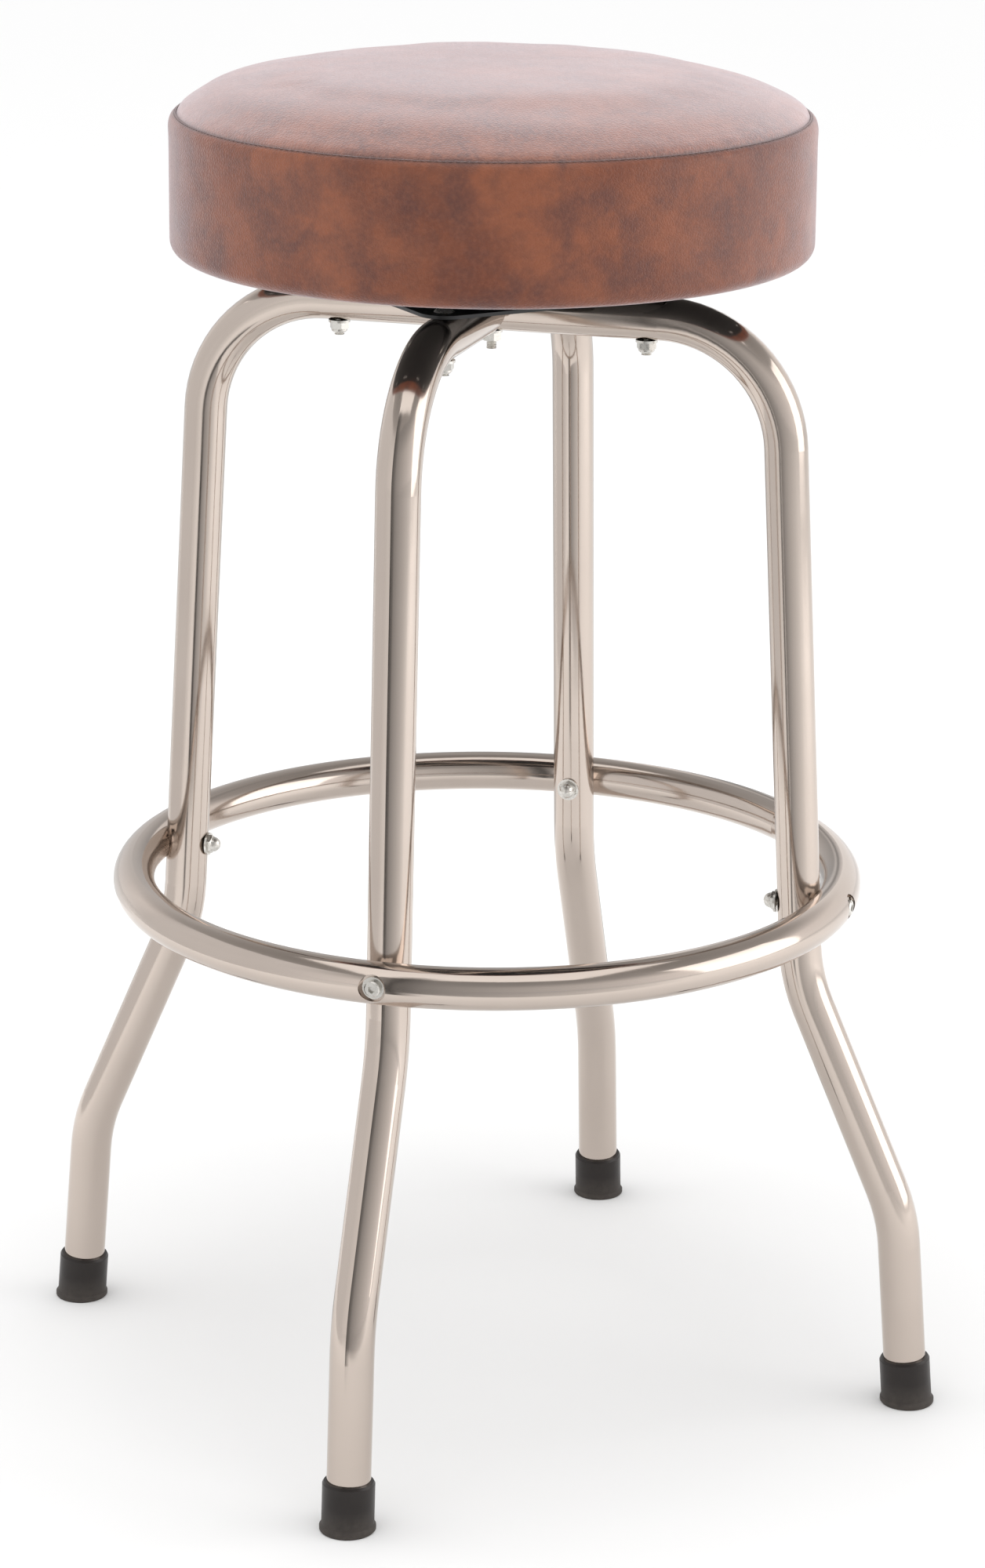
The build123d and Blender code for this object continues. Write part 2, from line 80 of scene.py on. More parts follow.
SEAM_WIDTH = 1.7 * MM
SEAM_DEPTH = 2.1 * MM  # how far the seam pulls the top panel down
TOP_PULL = 0.5 * MM  # how far it pulls the top panel inwards
BAND_PULL = 1.0 * MM  # how far it pulls the band inwards
BAND_SINK = 0.4 * MM  # how far it pulls the band down
TOP_SWELLS = 0.55 * MM  # slow unevenness of the padding
TOP_GATHERS = 0.32 * MM  # small gathers along the seam
TOP_WELT = 0.35 * MM  # where the seam allowance lifts the top panel
BAND_SWELLS = 0.55 * MM
BAND_WELT = 0.6 * MM
BAND_PLEATS = 0.8 * MM  # under the board, where the band is drawn in
JOINT_ANGLE = math.pi / 2  # the band's own joint, at the back
JOINT_DEPTH = 0.9 * MM
JOINT_WIDTH = 1.3 * MM
JOINT_WELT = 0.4 * MM

STITCH_PITCH = 3.9 * MM
STITCH_START, STITCH_END = 0.14, 0.86  # of the pitch, in the round seam
JOINT_STITCH = 0.7 * STITCH_PITCH  # length of a stitch in the joint
JOINT_STITCH_TOP = 8 * MM  # the joint's first stitch starts this far below the seam
THREAD_R = 0.33 * MM
STITCH_RAISE = 0.2 * MM  # how far the round seam's thread stands out
STITCH_SINK = 1.0 * MM  # how far it lies below the seam
JOINT_STITCH_SINK = 0.75 * MM  # how far the joint's thread lies inside the band

FOAM_GAP = 1.6 * MM  # between the foam's rolled edge and the seam
FOAM_DROP = 3 * MM  # the foam's rolled edge ends this far below the seam
FOAM_WAIST = 0.4 * MM  # how far the foam's side is drawn in
FOAM_DENTS = 0.15 * MM

CLOTH_THICK = 0.35 * MM
CLOTH_CLEAR = 0.3 * MM  # between the cloth's middle and the band's hem
CLOTH_FOLDS = 0.7 * MM
CLOTH_FRAY = 1.2 * MM

BAND_COLUMNS = 640
BAND_ROWS = {"roll": 14, "wall": 40, "edge": 10, "under": 12}
FOAM_COLUMNS = 180
FOAM_ROWS = {"underside": 24, "side": 8, "roll": 8, "crown": 30}
TOP_CELLS = 60  # from the middle of the top panel to its rim
CLOTH_CELLS = 48  # the same for the dust cover

HELD = 7 * MM  # rim of the top panel that the simulation holds fixed
PRESSURE = 4.0
SWELL_FRAMES = 20
SWELL_CAP = 1.2 * MM
CALM_ROUNDS = 14

# ---------------------------------------------------------------- camera, floor and light

CAMERA_AZIMUTH = 16.61  # degrees from straight in front, towards the right
CAMERA_LEVEL_DISTANCE = 2.6135
CAMERA_HEIGHT = 1.1578
CAMERA_HEADING = 16.552  # this and the next two in degrees
CAMERA_PITCH = -16.894
CAMERA_ROLL = 0.467
CAMERA_LENS = 104.95  # millimetres, as is the next
CAMERA_SENSOR = 36
FLOOR_SIZE = 60.0
FLAG_HEIGHT = 1.3
FLAG_LIFT = 2 * MM  # keeps the flags off the floor
LIGHT_TARGET_Z = 0.4
SURROUND_STRENGTH = 1.04


def around_stool(angle, distance, height):
    """A point at an angle in degrees from straight in front, positive towards the right."""
    turn = math.radians(angle)
    return Vector((distance * math.sin(turn), -distance * math.cos(turn), height))


def make_camera():
    """The camera, at the photograph's viewing angle."""
    data = bpy.data.cameras.new("camera")
    data.lens = CAMERA_LENS
    data.sensor_width = CAMERA_SENSOR
    camera = bpy.data.objects.new("camera", data)
    bpy.context.scene.collection.objects.link(camera)
    heading = Matrix.Rotation(math.radians(CAMERA_HEADING), 4, "Z")
    pitch = Matrix.Rotation(math.radians(90 + CAMERA_PITCH), 4, "X")
    roll = Matrix.Rotation(math.radians(CAMERA_ROLL), 4, "Z")
    place = around_stool(CAMERA_AZIMUTH, CAMERA_LEVEL_DISTANCE, CAMERA_HEIGHT)
    camera.matrix_world = Matrix.Translation(place) @ heading @ pitch @ roll
    bpy.context.scene.camera = camera


def make_softbox(name, angle, distance, height, size, power, warmth=(1, 1, 1)):
    """A rectangular area light that faces the middle of the stool."""
    data = bpy.data.lights.new(name, "AREA")
    data.shape = "RECTANGLE"
    data.size, data.size_y = size
    data.energy = power
    data.color = warmth
    light = bpy.data.objects.new(name, data)
    bpy.context.scene.collection.objects.link(light)
    light.location = around_stool(angle, distance, height)
    facing = Vector((0, 0, LIGHT_TARGET_Z)) - light.location
    light.rotation_euler = facing.to_track_quat("-Z", "Y").to_euler()
    light.visible_camera = False


class Shader:
    """One node material, with short calls for the nodes that the finishes here share."""

    def __init__(self, name):
        self.material = bpy.data.materials.new(name)
        self.material.use_nodes = True
        self.tree = self.material.node_tree
        self.surface = self.tree.nodes["Principled BSDF"]
        self.place = self.node("TexCoord").outputs["Object"]

    def node(self, kind, values=None, **settings):
        """A node with its settings, and its inputs set or linked by name or number."""
        made = self.tree.nodes.new("ShaderNode" + kind)
        for name, value in settings.items():
            setattr(made, name, value)
        for name, value in (values or {}).items():
            self.put(made.inputs[name], value)
        return made

    def put(self, socket, value):
        """Links a socket to another, or sets it."""
        if isinstance(value, bpy.types.NodeSocket):
            self.tree.links.new(value, socket)
        else:
            socket.default_value = value

    def finish(self, **values):
        """Sets or links sockets of the surface: base_color becomes Base Color."""
        for name, value in values.items():
            self.put(self.surface.inputs[name.replace("_", " ").title()], value)
        return self.material

    def stretched(self, stretch):
        """The place, with each axis scaled."""
        return self.node("Mapping", {"Vector": self.place, "Scale": stretch}).outputs["Vector"]

    def noise(self, size, detail=2.0, stretch=(1, 1, 1), distortion=0.0, roughness=0.5):
        """Noise from 0 to 1 whose features are about size across."""
        values = {
            "Vector": self.stretched(stretch),
            "Scale": 1 / size,
            "Detail": detail,
            "Roughness": roughness,
            "Distortion": distortion,
        }
        return self.node("TexNoise", values).outputs["Fac"]

    def cells(self, size, feature="F1", randomness=1.0):
        """Distance to the nearest cell point or cell edge."""
        values = {"Vector": self.stretched((1, 1, 1)), "Scale": 1 / size, "Randomness": randomness}
        return self.node("TexVoronoi", values, feature=feature).outputs["Distance"]

    def along(self, axis):
        """The place along one axis of the object."""
        return self.node("SeparateXYZ", {"Vector": self.place}).outputs[axis]

    def length(self, first, second):
        """Length of the hypotenuse over two sides."""
        squares = [self.math("MULTIPLY", side, side) for side in (first, second)]
        return self.math("SQRT", self.math("ADD", *squares))

    def from_ring(self, radius, height):
        """Distance to a level circle round the axis."""
        from_axis = self.length(self.along("X"), self.along("Y"))
        out = self.math("SUBTRACT", from_axis, radius)
        up = self.math("SUBTRACT", self.along("Z"), height)
        return self.length(out, up)

    def span(self, value, low, high, out_low=0.0, out_high=1.0):
        """Maps low..high to out_low..out_high, held beyond both ends."""
        values = {
            "Value": value,
            "From Min": low,
            "From Max": high,
            "To Min": out_low,
            "To Max": out_high,
        }
        return self.node("MapRange", values).outputs["Result"]

    def math(self, operation, first, second=0.0):
        """One calculation on numbers or sockets."""
        return self.node("Math", {0: first, 1: second}, operation=operation).outputs["Value"]

    def mix(self, factor, first, second):
        """A mix of two colours."""
        made = self.node("Mix", data_type="RGBA")
        self.put(made.inputs["Factor"], factor)
        self.put(made.inputs["A"], colour(first))
        self.put(made.inputs["B"], colour(second))
        return made.outputs["Result"]

    def bump(self, height, depth, under=None, strength=1.0):
        """A normal roughened by a height, over the normal under it if there is one."""
        values = {"Height": height, "Distance": depth, "Strength": strength}
        if under is not None:
            values["Normal"] = under
        return self.node("Bump", values).outputs["Normal"]


def colour(value):
    """A linear RGB triple as RGBA; a socket passes through."""
    return value if isinstance(value, bpy.types.NodeSocket) else (*value, 1.0)


def make_floor():
    """The pale studio floor, with a painted shadow: it is painted darker round the stool's middle, as
    the pool of shade under the stool.
    """
    half = FLOOR_SIZE / 2
    corners = [(-half, -half, 0), (half, -half, 0), (half, half, 0), (-half, half, 0)]
    mesh = bpy.data.meshes.new("floor")
    mesh.from_pydata(corners, [], [(0, 1, 2, 3)])
    floor = bpy.data.objects.new("floor", mesh)
    bpy.context.scene.collection.objects.link(floor)
    shader = Shader("studio_floor_painted_shadow")
    from_middle = shader.node("VectorMath", {0: shader.place}, operation="LENGTH").outputs["Value"]
    # Painted shadow: darker near the middle, under the stool, and pale further out.
    middle = shader.mix(shader.noise(0.6, detail=3), (0.74, 0.74, 0.74), (0.77, 0.77, 0.77))
    tone = shader.mix(shader.span(from_middle, 0.15, 0.85), middle, (0.95, 0.95, 0.95))
    mesh.materials.append(shader.finish(base_color=tone, roughness=0.9))


def make_world():
    """An even white surround, which reflections see as a studio: bright walls under a dim ceiling."""
    world = bpy.data.worlds.new("studio")
    bpy.context.scene.world = world
    world.use_nodes = True
    tree = world.node_tree
    surround = tree.nodes["Background"]
    surround.inputs["Color"].default_value = (1, 1, 1, 1)
    surround.inputs["Strength"].default_value = SURROUND_STRENGTH
    walls = tree.nodes.new("ShaderNodeBackground")
    direction = tree.nodes.new("ShaderNodeTexCoord")
    split = tree.nodes.new("ShaderNodeSeparateXYZ")
    ramp = tree.nodes.new("ShaderNodeValToRGB")
    tree.links.new(direction.outputs["Generated"], split.inputs["Vector"])
    tree.links.new(split.outputs["Z"], ramp.inputs["Fac"])
    stops = ramp.color_ramp.elements
    stops[0].position, stops[0].color = 0.0, (1.15, 1.14, 1.14, 1)
    stops[1].position, stops[1].color = 1.0, (0.28, 0.27, 0.26, 1)
    for position, grey in ((0.38, 1.1), (0.62, 0.5)):
        stops.new(position).color = (grey, grey * 0.985, grey * 0.975, 1)
    tree.links.new(ramp.outputs["Color"], walls.inputs["Color"])
    ray = tree.nodes.new("ShaderNodeLightPath")
    choice = tree.nodes.new("ShaderNodeMixShader")
    tree.links.new(ray.outputs["Is Glossy Ray"], choice.inputs["Fac"])
    tree.links.new(surround.outputs["Background"], choice.inputs[1])
    tree.links.new(walls.outputs["Background"], choice.inputs[2])
    tree.links.new(choice.outputs["Shader"], tree.nodes["World Output"].inputs["Surface"])


def make_flag(name, angle, distance, width, tone, fades):
    """A studio flag: a dark upright card that only reflections see.

    It faces the stool, and fades in over a share of its width from each end: fades, left then right.
    """
    mesh = bpy.data.meshes.new(name)
    half = width / 2
    corners = [(-half, 0, 0), (half, 0, 0), (half, 0, FLAG_HEIGHT), (-half, 0, FLAG_HEIGHT)]
    mesh.from_pydata(corners, [], [(0, 1, 2, 3)])
    flag = bpy.data.objects.new(name, mesh)
    bpy.context.scene.collection.objects.link(flag)
    flag.location = around_stool(angle, distance, FLAG_LIFT)
    flag.rotation_euler.z = math.radians(angle)
    shader = Shader(name)
    across = shader.along("X")
    left, right = (share * width for share in fades)
    fade_in = shader.span(across, -half, left - half)
    fade_out = shader.span(across, half - right, half, 1.0, 0.0)
    cover = shader.math("MULTIPLY", fade_in, fade_out)
    shade = shader.span(shader.noise(0.5), 0, 1, tone * 0.9, tone)
    grey = shader.node("CombineColor", {channel: shade for channel in range(3)}).outputs["Color"]
    glow = shader.node("Emission", {"Color": grey})
    clear = shader.node("BsdfTransparent")
    blend = shader.node("MixShader", {"Fac": cover, 1: clear.outputs[0], 2: glow.outputs[0]})
    shader.tree.links.new(blend.outputs[0], shader.tree.nodes["Material Output"].inputs["Surface"])
    mesh.materials.append(shader.material)
    flag.visible_camera = False
    flag.visible_diffuse = False
    flag.visible_shadow = False
    flag.visible_transmission = False


def make_studio():
    """Camera, floor, surround, lights and the flags that the plating reflects."""
    make_camera()
    make_floor()
    make_world()
    side = {"distance": 2.6, "height": 1.2, "size": (2.0, 2.2)}
    make_softbox("left_softbox", -75, power=10, warmth=(1.0, 0.985, 0.97), **side)
    make_softbox("right_softbox", 100, power=20, warmth=(1.0, 0.985, 0.975), **side)
    make_softbox("top_softbox", 10, distance=0.4, height=2.9, size=(2.6, 2.6), power=22)
    make_flag("front_narrow_flag", -7, distance=0.66, width=0.18, tone=0.10, fades=(0.45, 0.45))
    make_flag("front_broad_flag", 32, distance=0.86, width=1.4, tone=0.36, fades=(0.04, 0.92))
    make_flag("left_flag", -66, distance=1.0, width=2.4, tone=0.94, fades=(0.25, 0.3))
    make_flag("back_narrow_flag", 180, distance=0.7, width=0.17, tone=0.40, fades=(0.45, 0.45))
    make_flag("back_broad_flag", 222, distance=0.9, width=1.15, tone=0.50, fades=(0.06, 0.9))
    bpy.context.scene.view_settings.view_transform = "Standard"


# ---------------------------------------------------------------- finishes


def nickel_plate():
    """Warm bright plating on the tubes, polished along them, with a faint haze."""
    shader = Shader("nickel_plate")
    cloud = shader.noise(0.05, detail=3)
    tint = shader.mix(cloud, (0.530, 0.457, 0.405), (0.580, 0.504, 0.450))
    haze = shader.span(shader.noise(0.03, detail=4, roughness=0.6), 0.35, 0.7, 0.09, 0.16)
    ripple = shader.bump(shader.noise(0.045, detail=1, stretch=(1, 1, 0.3)), 0.5 * MM, strength=0.6)
    polish = shader.bump(shader.noise(0.0012, detail=2, stretch=(1, 1, 0.08)), 0.01 * MM, ripple, 0.35)
    return shader.finish(base_color=tint, metallic=1.0, roughness=haze, normal=polish)


def zinc_plate():
    """Bright zinc on bolts, nuts and washers, a little cloudy."""
    shader = Shader("zinc_plate")
    cloud = shader.noise(0.0025, detail=4, roughness=0.6)
    tint = shader.mix(cloud, (0.60, 0.58, 0.54), (0.78, 0.76, 0.72))
    haze = shader.span(cloud, 0.3, 0.75, 0.2, 0.42)
    grain = shader.bump(shader.noise(0.0006, detail=2), 0.02 * MM, strength=0.5)
    return shader.finish(base_color=tint, metallic=1.0, roughness=haze, normal=grain)


def black_paint():
    """Black baked paint on the swivel plates, with orange peel and a few rubbed spots."""
    shader = Shader("black_paint")
    rubbed = shader.span(shader.noise(0.009, detail=5, roughness=0.7), 0.66, 0.74)
    tint = shader.mix(rubbed, (0.014, 0.014, 0.015), (0.10, 0.095, 0.09))
    gloss = shader.span(shader.noise(0.02, detail=2), 0.3, 0.7, 0.3, 0.46)
    peel = shader.bump(shader.noise(0.0018, detail=1), 0.06 * MM, strength=0.5)
    return shader.finish(base_color=tint, roughness=gloss, normal=peel)


def foot_rubber():
    """Dark rubber, dustier towards the floor."""
    shader = Shader("foot_rubber")
    low = shader.span(shader.along("Z"), 1 * MM, 16 * MM, 1.0, 0.0)
    dust = shader.math("MULTIPLY", low, shader.noise(0.004, detail=4, roughness=0.65))
    bare = shader.mix(shader.noise(0.012, detail=3), (0.012, 0.009, 0.008), (0.022, 0.017, 0.015))
    tint = shader.mix(dust, bare, (0.085, 0.072, 0.062))
    matt = shader.span(dust, 0.0, 0.6, 0.36, 0.7)
    grain = shader.bump(shader.noise(0.0007, detail=3), 0.04 * MM, strength=0.6)
    material = shader.finish(base_color=tint, roughness=matt, normal=grain)
    shader.surface.inputs["Specular IOR Level"].default_value = 0.32
    return material


def cage_steel():
    """Plain pressed steel under a film of grease."""
    shader = Shader("cage_steel")
    film = shader.noise(0.006, detail=3)
    tint = shader.mix(film, (0.34, 0.31, 0.26), (0.50, 0.48, 0.45))
    haze = shader.span(film, 0.3, 0.7, 0.22, 0.45)
    return shader.finish(base_color=tint, metallic=1.0, roughness=haze)


def ball_steel():
    """Ground bearing balls."""
    shader = Shader("ball_steel")
    film = shader.noise(0.002, detail=2)
    tint = shader.mix(film, (0.62, 0.60, 0.57), (0.72, 0.71, 0.69))
    haze = shader.span(film, 0.3, 0.7, 0.06, 0.16)
    return shader.finish(base_color=tint, metallic=1.0, roughness=haze)


def staple_wire():
    """Galvanised staple wire, drawn along its length."""
    shader = Shader("staple_wire")
    drawn = shader.noise(0.0015, detail=3)
    tint = shader.mix(drawn, (0.52, 0.51, 0.50), (0.72, 0.71, 0.70))
    haze = shader.span(drawn, 0.3, 0.7, 0.25, 0.4)
    return shader.finish(base_color=tint, metallic=1.0, roughness=haze)


def plywood():
    """Plies through the thickness and a long grain on the faces."""
    shader = Shader("plywood")
    ply = shader.math("PINGPONG", shader.along("Z"), 1.7 * MM)
    layer = shader.span(ply, 0.6 * MM, 1.1 * MM)
    grain = shader.noise(0.006, detail=4, stretch=(1, 0.06, 1), distortion=0.4)
    pale = shader.mix(grain, (0.46, 0.30, 0.17), (0.66, 0.49, 0.31))
    tint = shader.mix(layer, pale, (0.36, 0.21, 0.11))
    lines = shader.bump(grain, 0.15 * MM, strength=0.5)
    return shader.finish(base_color=tint, roughness=0.72, normal=lines)


def seat_foam():
    """Open-cell foam, pale yellow."""
    shader = Shader("seat_foam")
    cell = shader.cells(0.0016)
    tint = shader.mix(shader.noise(0.03, detail=2), (0.70, 0.62, 0.40), (0.80, 0.73, 0.52))
    pores = shader.bump(cell, 0.5 * MM, strength=0.8)
    return shader.finish(base_color=tint, roughness=0.95, normal=pores)


def leatherette(name, gloss, haze, wear_and_painted_sheen, veil, veil_spread):
    """Distressed brown leatherette: orange-brown under purplish blotches, with a fine pebbled grain.

    gloss is the specular level, haze the roughness range, and the next how much the specks lighten it:
    partly real wear, partly a painted sheen that makes the top panel paler; veil the strength of the
    pale bloom and veil_spread how far it reaches from the grazing edges.
    Near the seam it is painted darker: painted shade in the seam's crease.
    """
    shader = Shader(name)
    cloud = shader.noise(0.065, detail=2.5, distortion=0.2)
    ground = shader.mix(shader.span(cloud, 0.36, 0.62), (0.142, 0.036, 0.014), (0.228, 0.066, 0.026))
    blotch = shader.noise(0.026, detail=4, distortion=0.25, roughness=0.56)
    dark = shader.span(blotch, 0.45, 0.66, 0.0, 0.72)
    stained = shader.mix(dark, ground, (0.087, 0.030, 0.023))
    mottle = shader.noise(0.010, detail=3, distortion=0.2, roughness=0.55)
    mottled = shader.mix(shader.span(mottle, 0.45, 0.7, 0.0, 0.36), stained, (0.100, 0.034, 0.022))
    speck = shader.noise(0.0026, detail=3)
    # Lighter specks: real wear, and where they are strongest, on the top panel, a painted sheen that
    # makes it paler.
    worn_and_painted_sheen = shader.mix(shader.span(speck, 0.42, 0.72, 0.0, wear_and_painted_sheen), mottled, (0.30, 0.10, 0.05))
    # Painted shade: darker within about 2 mm of the seam, where its crease is in shade.
    painted_seam_shade = shader.span(shader.from_ring(SEAM_R, SEAM_Z), 0.5 * MM, 2.4 * MM, 0.75, 0.0)
    tint = shader.mix(painted_seam_shade, worn_and_painted_sheen, (0.034, 0.012, 0.008))
    polish = shader.span(shader.noise(0.02, detail=4), 0.3, 0.7, *haze)
    hide = shader.bump(shader.noise(0.05, detail=2), 0.9 * MM, strength=0.35)
    grain = shader.span(shader.cells(0.0019, feature="DISTANCE_TO_EDGE"), 0.0, 0.22)
    pebble = shader.bump(grain, 0.16 * MM, hide, 0.75)
    pore = shader.bump(shader.noise(0.0007, detail=3), 0.06 * MM, pebble, 0.5)
    material = shader.finish(base_color=tint, roughness=polish, normal=pore)
    shader.surface.inputs["Specular IOR Level"].default_value = gloss
    shader.surface.inputs["Sheen Weight"].default_value = veil
    shader.surface.inputs["Sheen Roughness"].default_value = veil_spread
    shader.surface.inputs["Sheen Tint"].default_value = (0.98, 0.91, 0.96, 1)
    return material


def sewing_thread():
    """Dark brown twisted thread."""
    shader = Shader("sewing_thread")
    twist = shader.noise(0.0004, detail=2)
    tint = shader.mix(twist, (0.030, 0.012, 0.010), (0.075, 0.032, 0.026))
    return shader.finish(base_color=tint, roughness=0.6, normal=shader.bump(twist, 0.05 * MM))


def dust_cloth():
    """Black spun-bonded cloth: fibres pressed together in a grid of small dots."""
    shader = Shader("dust_cloth")
    fibre = shader.noise(0.0011, detail=4, stretch=(1, 0.35, 1), distortion=1.2)
    tint = shader.mix(fibre, (0.006, 0.006, 0.007), (0.028, 0.027, 0.028))
    dots = shader.cells(0.0021, randomness=0.0)
    pressed = shader.bump(shader.span(dots, 0.25, 0.45), 0.08 * MM, strength=0.6)
    fuzz = shader.bump(fibre, 0.06 * MM, pressed, 0.5)
    material = shader.finish(base_color=tint, roughness=0.9, normal=fuzz)
    shader.surface.inputs["Sheen Weight"].default_value = 0.15
    return material


# ---------------------------------------------------------------- mesh helpers


def add_piece(name, points, faces, body, material):
    """A smooth-shaded mesh object with its material, which rides on a body."""
    mesh = bpy.data.meshes.new(name)
    mesh.from_pydata([tuple(p) for p in points], [], faces)
    mesh.materials.append(material)
    mesh.shade_smooth()
    piece = bpy.data.objects.new(name, mesh)
    bpy.context.scene.collection.objects.link(piece)
    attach(piece, body)
    return piece


def rings(profile, columns, shape):
    """Points of a surface of revolution: shape(profile point, angle) gives radius and height."""
    points = []
    for at in profile:
        for column in range(columns):
            angle = WHOLE_TURN * column / columns
            radius, height = shape(at, angle)
            points.append((radius * math.cos(angle), radius * math.sin(angle), height))
    return points


def ring_faces(rows, columns, first=0):
    """Quads between neighbouring rings, and round each ring."""
    faces = []
    for row in range(rows - 1):
        for column in range(columns):
            near = first + row * columns + column
            side = first + row * columns + (column + 1) % columns
            faces.append((near, side, side + columns, near + columns))
    return faces


def cap_faces(centre, ring_start, columns):
    """Triangles from a centre point to a ring."""
    return [
        (centre, ring_start + column, ring_start + (column + 1) % columns) for column in range(columns)
    ]


def thicken(piece, thickness, offset=-1.0):
    """Gives a surface its cloth thickness; -1 keeps the outside where it is."""
    solid = piece.modifiers.new("thickness", "SOLIDIFY")
    solid.thickness = thickness
    solid.offset = offset
    solid.use_even_offset = True


def wave_noise(angle, height, size, seed):
    """Smooth noise on a turn round the seat, about -1 to 1, with features about size across."""
    place = Vector((SEAT_R * math.cos(angle), SEAT_R * math.sin(angle), height))
    return noise.noise(place / size + Vector((seed, seed * 1.7, 0)))


def bell(distance, width):
    """1 at distance 0, falling smoothly to about a third at width and on towards 0."""
    return math.exp(-((distance / width) ** 2))


def ease(value, low, high):
    """0 below low, 1 above high, smooth between."""
    t = min(max((value - low) / (high - low), 0.0), 1.0)
    return t * t * (3 - 2 * t)


def set_points(mesh, points):
    """Puts a mesh's points at the given places."""
    mesh.vertices.foreach_set("co", np.asarray(points, np.float32).ravel())
    mesh.update()


def get_points(mesh):
    """A mesh's points as an array of places."""
    points = np.zeros(len(mesh.vertices) * 3, np.float32)
    mesh.vertices.foreach_get("co", points)
    return points.reshape(-1, 3)


def calmed(values, mesh, rounds):
    """Values on a mesh's points, averaged with their neighbours a number of times."""
    edges = np.zeros(len(mesh.edges) * 2, np.int32)
    mesh.edges.foreach_get("vertices", edges)
    first, second = edges.reshape(-1, 2).T
    neighbours = np.bincount(edges, minlength=len(values))[:, None]
    for _ in range(rounds):
        total = np.zeros_like(values)
        np.add.at(total, first, values[second])
        np.add.at(total, second, values[first])
        values = (values + total / neighbours) / 2
    return values


def swell(piece, held):
    """Cloth simulation: the piece fills out under pressure, up to a cap, with its held points fixed."""
    scene = bpy.context.scene
    start = get_points(piece.data)
    group = piece.vertex_groups.new(name="held")
    group.add(held, 1.0, "REPLACE")
    cloth = piece.modifiers.new("cloth", "CLOTH")
    cloth.settings.vertex_group_mass = group.name
    cloth.settings.use_pressure = True
    cloth.settings.uniform_pressure_force = PRESSURE
    cloth.settings.effector_weights.gravity = 0
    cloth.point_cache.frame_end = SWELL_FRAMES
    for frame_number in range(1, SWELL_FRAMES + 1):
        scene.frame_set(frame_number)
    depsgraph = bpy.context.evaluated_depsgraph_get()
    moved = get_points(piece.evaluated_get(depsgraph).data) - start
    piece.modifiers.remove(cloth)
    scene.frame_set(1)
    length = np.linalg.norm(moved, axis=1, keepdims=True)
    capped = moved * (SWELL_CAP / np.maximum(length, SWELL_CAP))
    set_points(piece.data, start + calmed(capped, piece.data, CALM_ROUNDS))


# ---------------------------------------------------------------- seat


def crown_height(fraction):
    """Height of the domed top above the seam, at a fraction of the seam's radius."""
    return CROWN * (1 - fraction**CROWN_POWER)


def fullness(fraction, angle):
    """How much fuller than an even dome the padding is: near the rim all round, most on one side."""
    leftness = ((1 + math.cos(angle - FULL_SIDE)) / 2) ** 3
    to_rim = 1 - fraction
    even = EVEN_FULLNESS * bell(fraction - 0.92, width=0.13) * ease(to_rim, 0.0, 0.06)
    side = SIDE_FULLNESS * leftness * bell(fraction - 0.83, width=0.17) * ease(to_rim, 0.0, 0.11)
    return even + side


def top_shape(fraction, angle):
    """The top panel: a dome that rolls down into the seam, a little uneven and gathered at its rim."""
    radius = SEAM_R * fraction
    to_seam = SEAM_R - radius
    height = SEAM_Z + crown_height(fraction) + fullness(fraction, angle)
    place = Vector((radius * math.cos(angle), radius * math.sin(angle), 0.5))
    swells = fraction * wave_noise(angle, fraction * 0.3, size=0.11, seed=3.1)
    swells += noise.noise(place / 0.09)
    height += TOP_SWELLS * swells * ease(to_seam, 2 * MM, 40 * MM)
    gathers = wave_noise(angle, 0.0, size=0.012, seed=8.3) * bell(to_seam - 4 * MM, width=7 * MM)
    height += TOP_GATHERS * gathers
    height -= SEAM_DEPTH * bell(to_seam, SEAM_WIDTH)
    height += TOP_WELT * bell(to_seam - 4.5 * MM, width=3 * MM)
    return radius - TOP_PULL * bell(to_seam, SEAM_WIDTH), height


def crowded(fraction, power):
    """Moves evenly spaced fractions from 0 to 1 closer together towards 1."""
    return 1 - (1 - fraction) ** power


def disc_grid(count, shape, power):
    """A disc of four-sided cells with no pole: shape(fraction, angle) gives radius and height."""
    side = 2 * count + 1
    points = []
    for row in range(side):
        for column in range(side):
            across, along = column - count, row - count
            if abs(across) >= abs(along):
                angle = math.pi / 4 * along / (across or 1) + (math.pi if across < 0 else 0)
            else:
                angle = math.pi / 2 - math.pi / 4 * across / along + (math.pi if along < 0 else 0)
            radius, height = shape(crowded(max(abs(across), abs(along)) / count, power), angle)
            points.append((radius * math.cos(angle), radius * math.sin(angle), height))
    corners = [row * side + column for row in range(side - 1) for column in range(side - 1)]
    faces = [(at, at + 1, at + 1 + side, at + side) for at in corners]
    return points, faces


def make_top_panel(material):
    """The domed top panel of the cover."""
    points, faces = disc_grid(TOP_CELLS, top_shape, power=1.6)
    panel = add_piece("seat_top_panel", points, faces, "seat", material)
    swell(panel, [index for index, at in enumerate(points) if math.hypot(*at[:2]) > SEAM_R - HELD])
    thicken(panel, SKIN)
    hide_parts("seat_cover_top")


def band_profile():
    """Steps down the band from the seam to the hem, as (part, fraction of that part)."""
    profile = [("roll", 0.0)]
    for part, rows in BAND_ROWS.items():
        profile += [(part, index / rows) for index in range(1, rows + 1)]
    return profile


